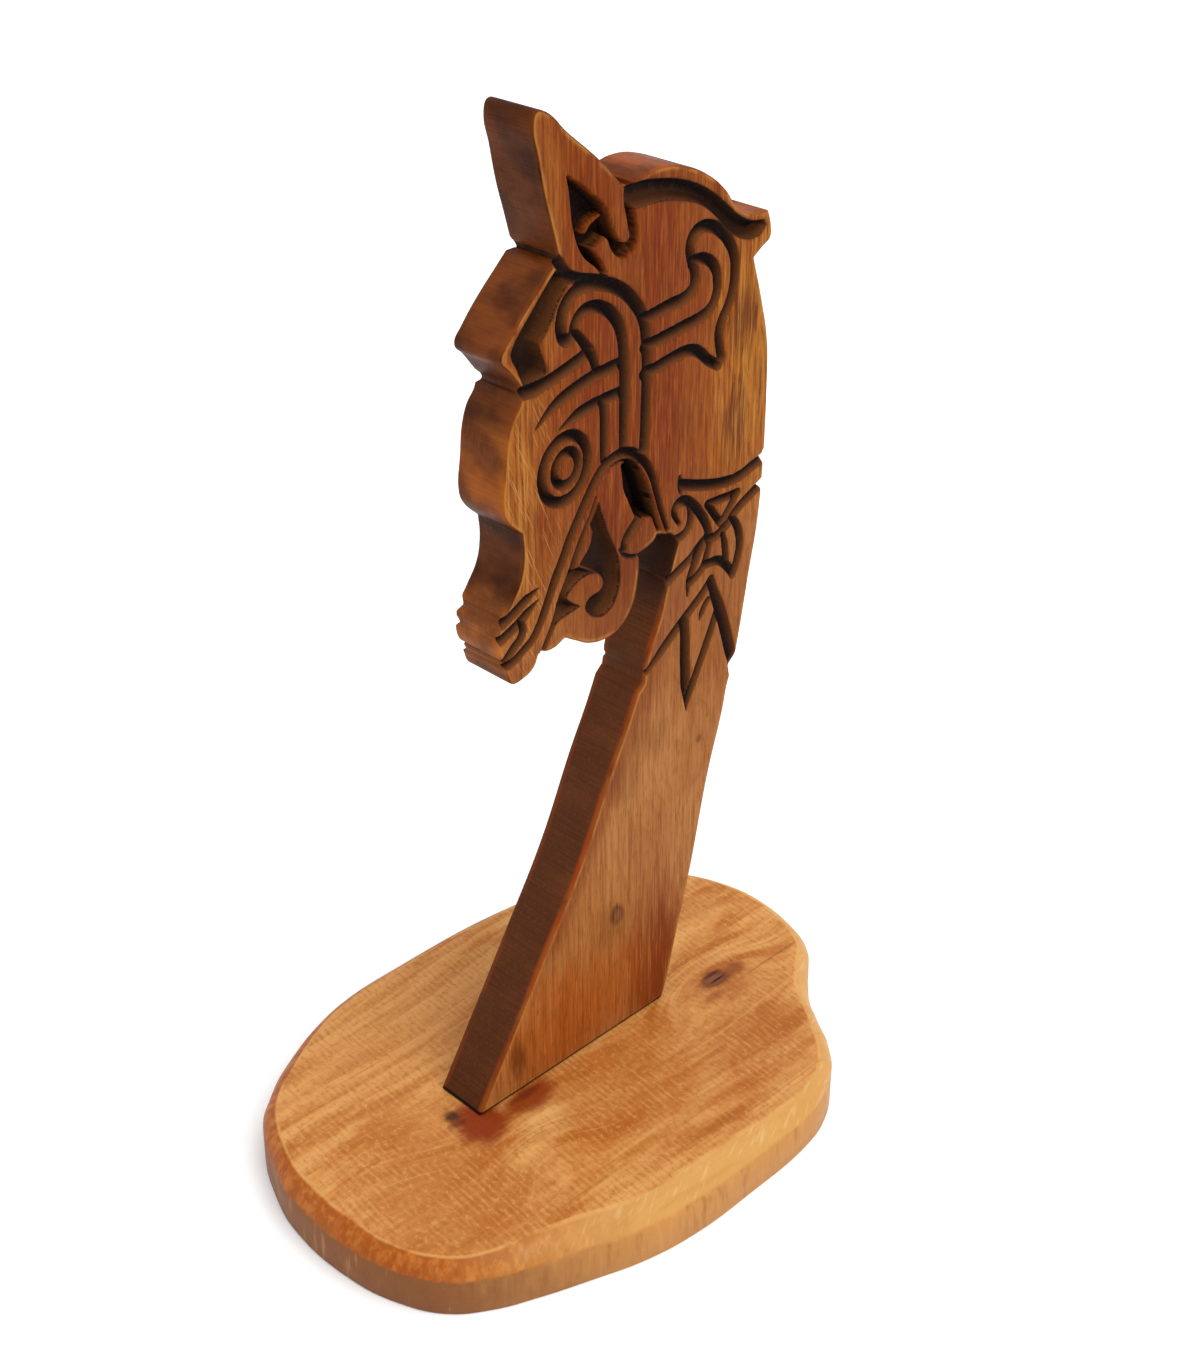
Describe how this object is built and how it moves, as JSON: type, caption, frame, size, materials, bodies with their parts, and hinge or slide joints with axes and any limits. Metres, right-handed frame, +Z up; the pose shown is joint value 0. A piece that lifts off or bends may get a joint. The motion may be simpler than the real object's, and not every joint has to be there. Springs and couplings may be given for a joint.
{
  "type": "dragon head sculpture",
  "caption": "Carved wooden dragon head and neck sawn from a flat board, standing upright on a live-edge wooden slab.",
  "frame": {"origin": "centre of the object's box, on the underside of the slab", "axes": "the dragon faces -Y, +X is the dragon's left-hand face turned to the viewer in the picture, +Z is up"},
  "size_m": [0.201, 0.286, 0.4395],
  "materials": {
    "oiled_redwood": "red-brown oiled wood, satin, darker in the carving and on the sawn edges",
    "pale_slab": "honey-coloured oiled wood with visible saw marks, satin"
  },
  "bodies": {
    "root": {"dragon_board": "oiled_redwood", "base_slab": "pale_slab"}
  },
  "joints": []
}
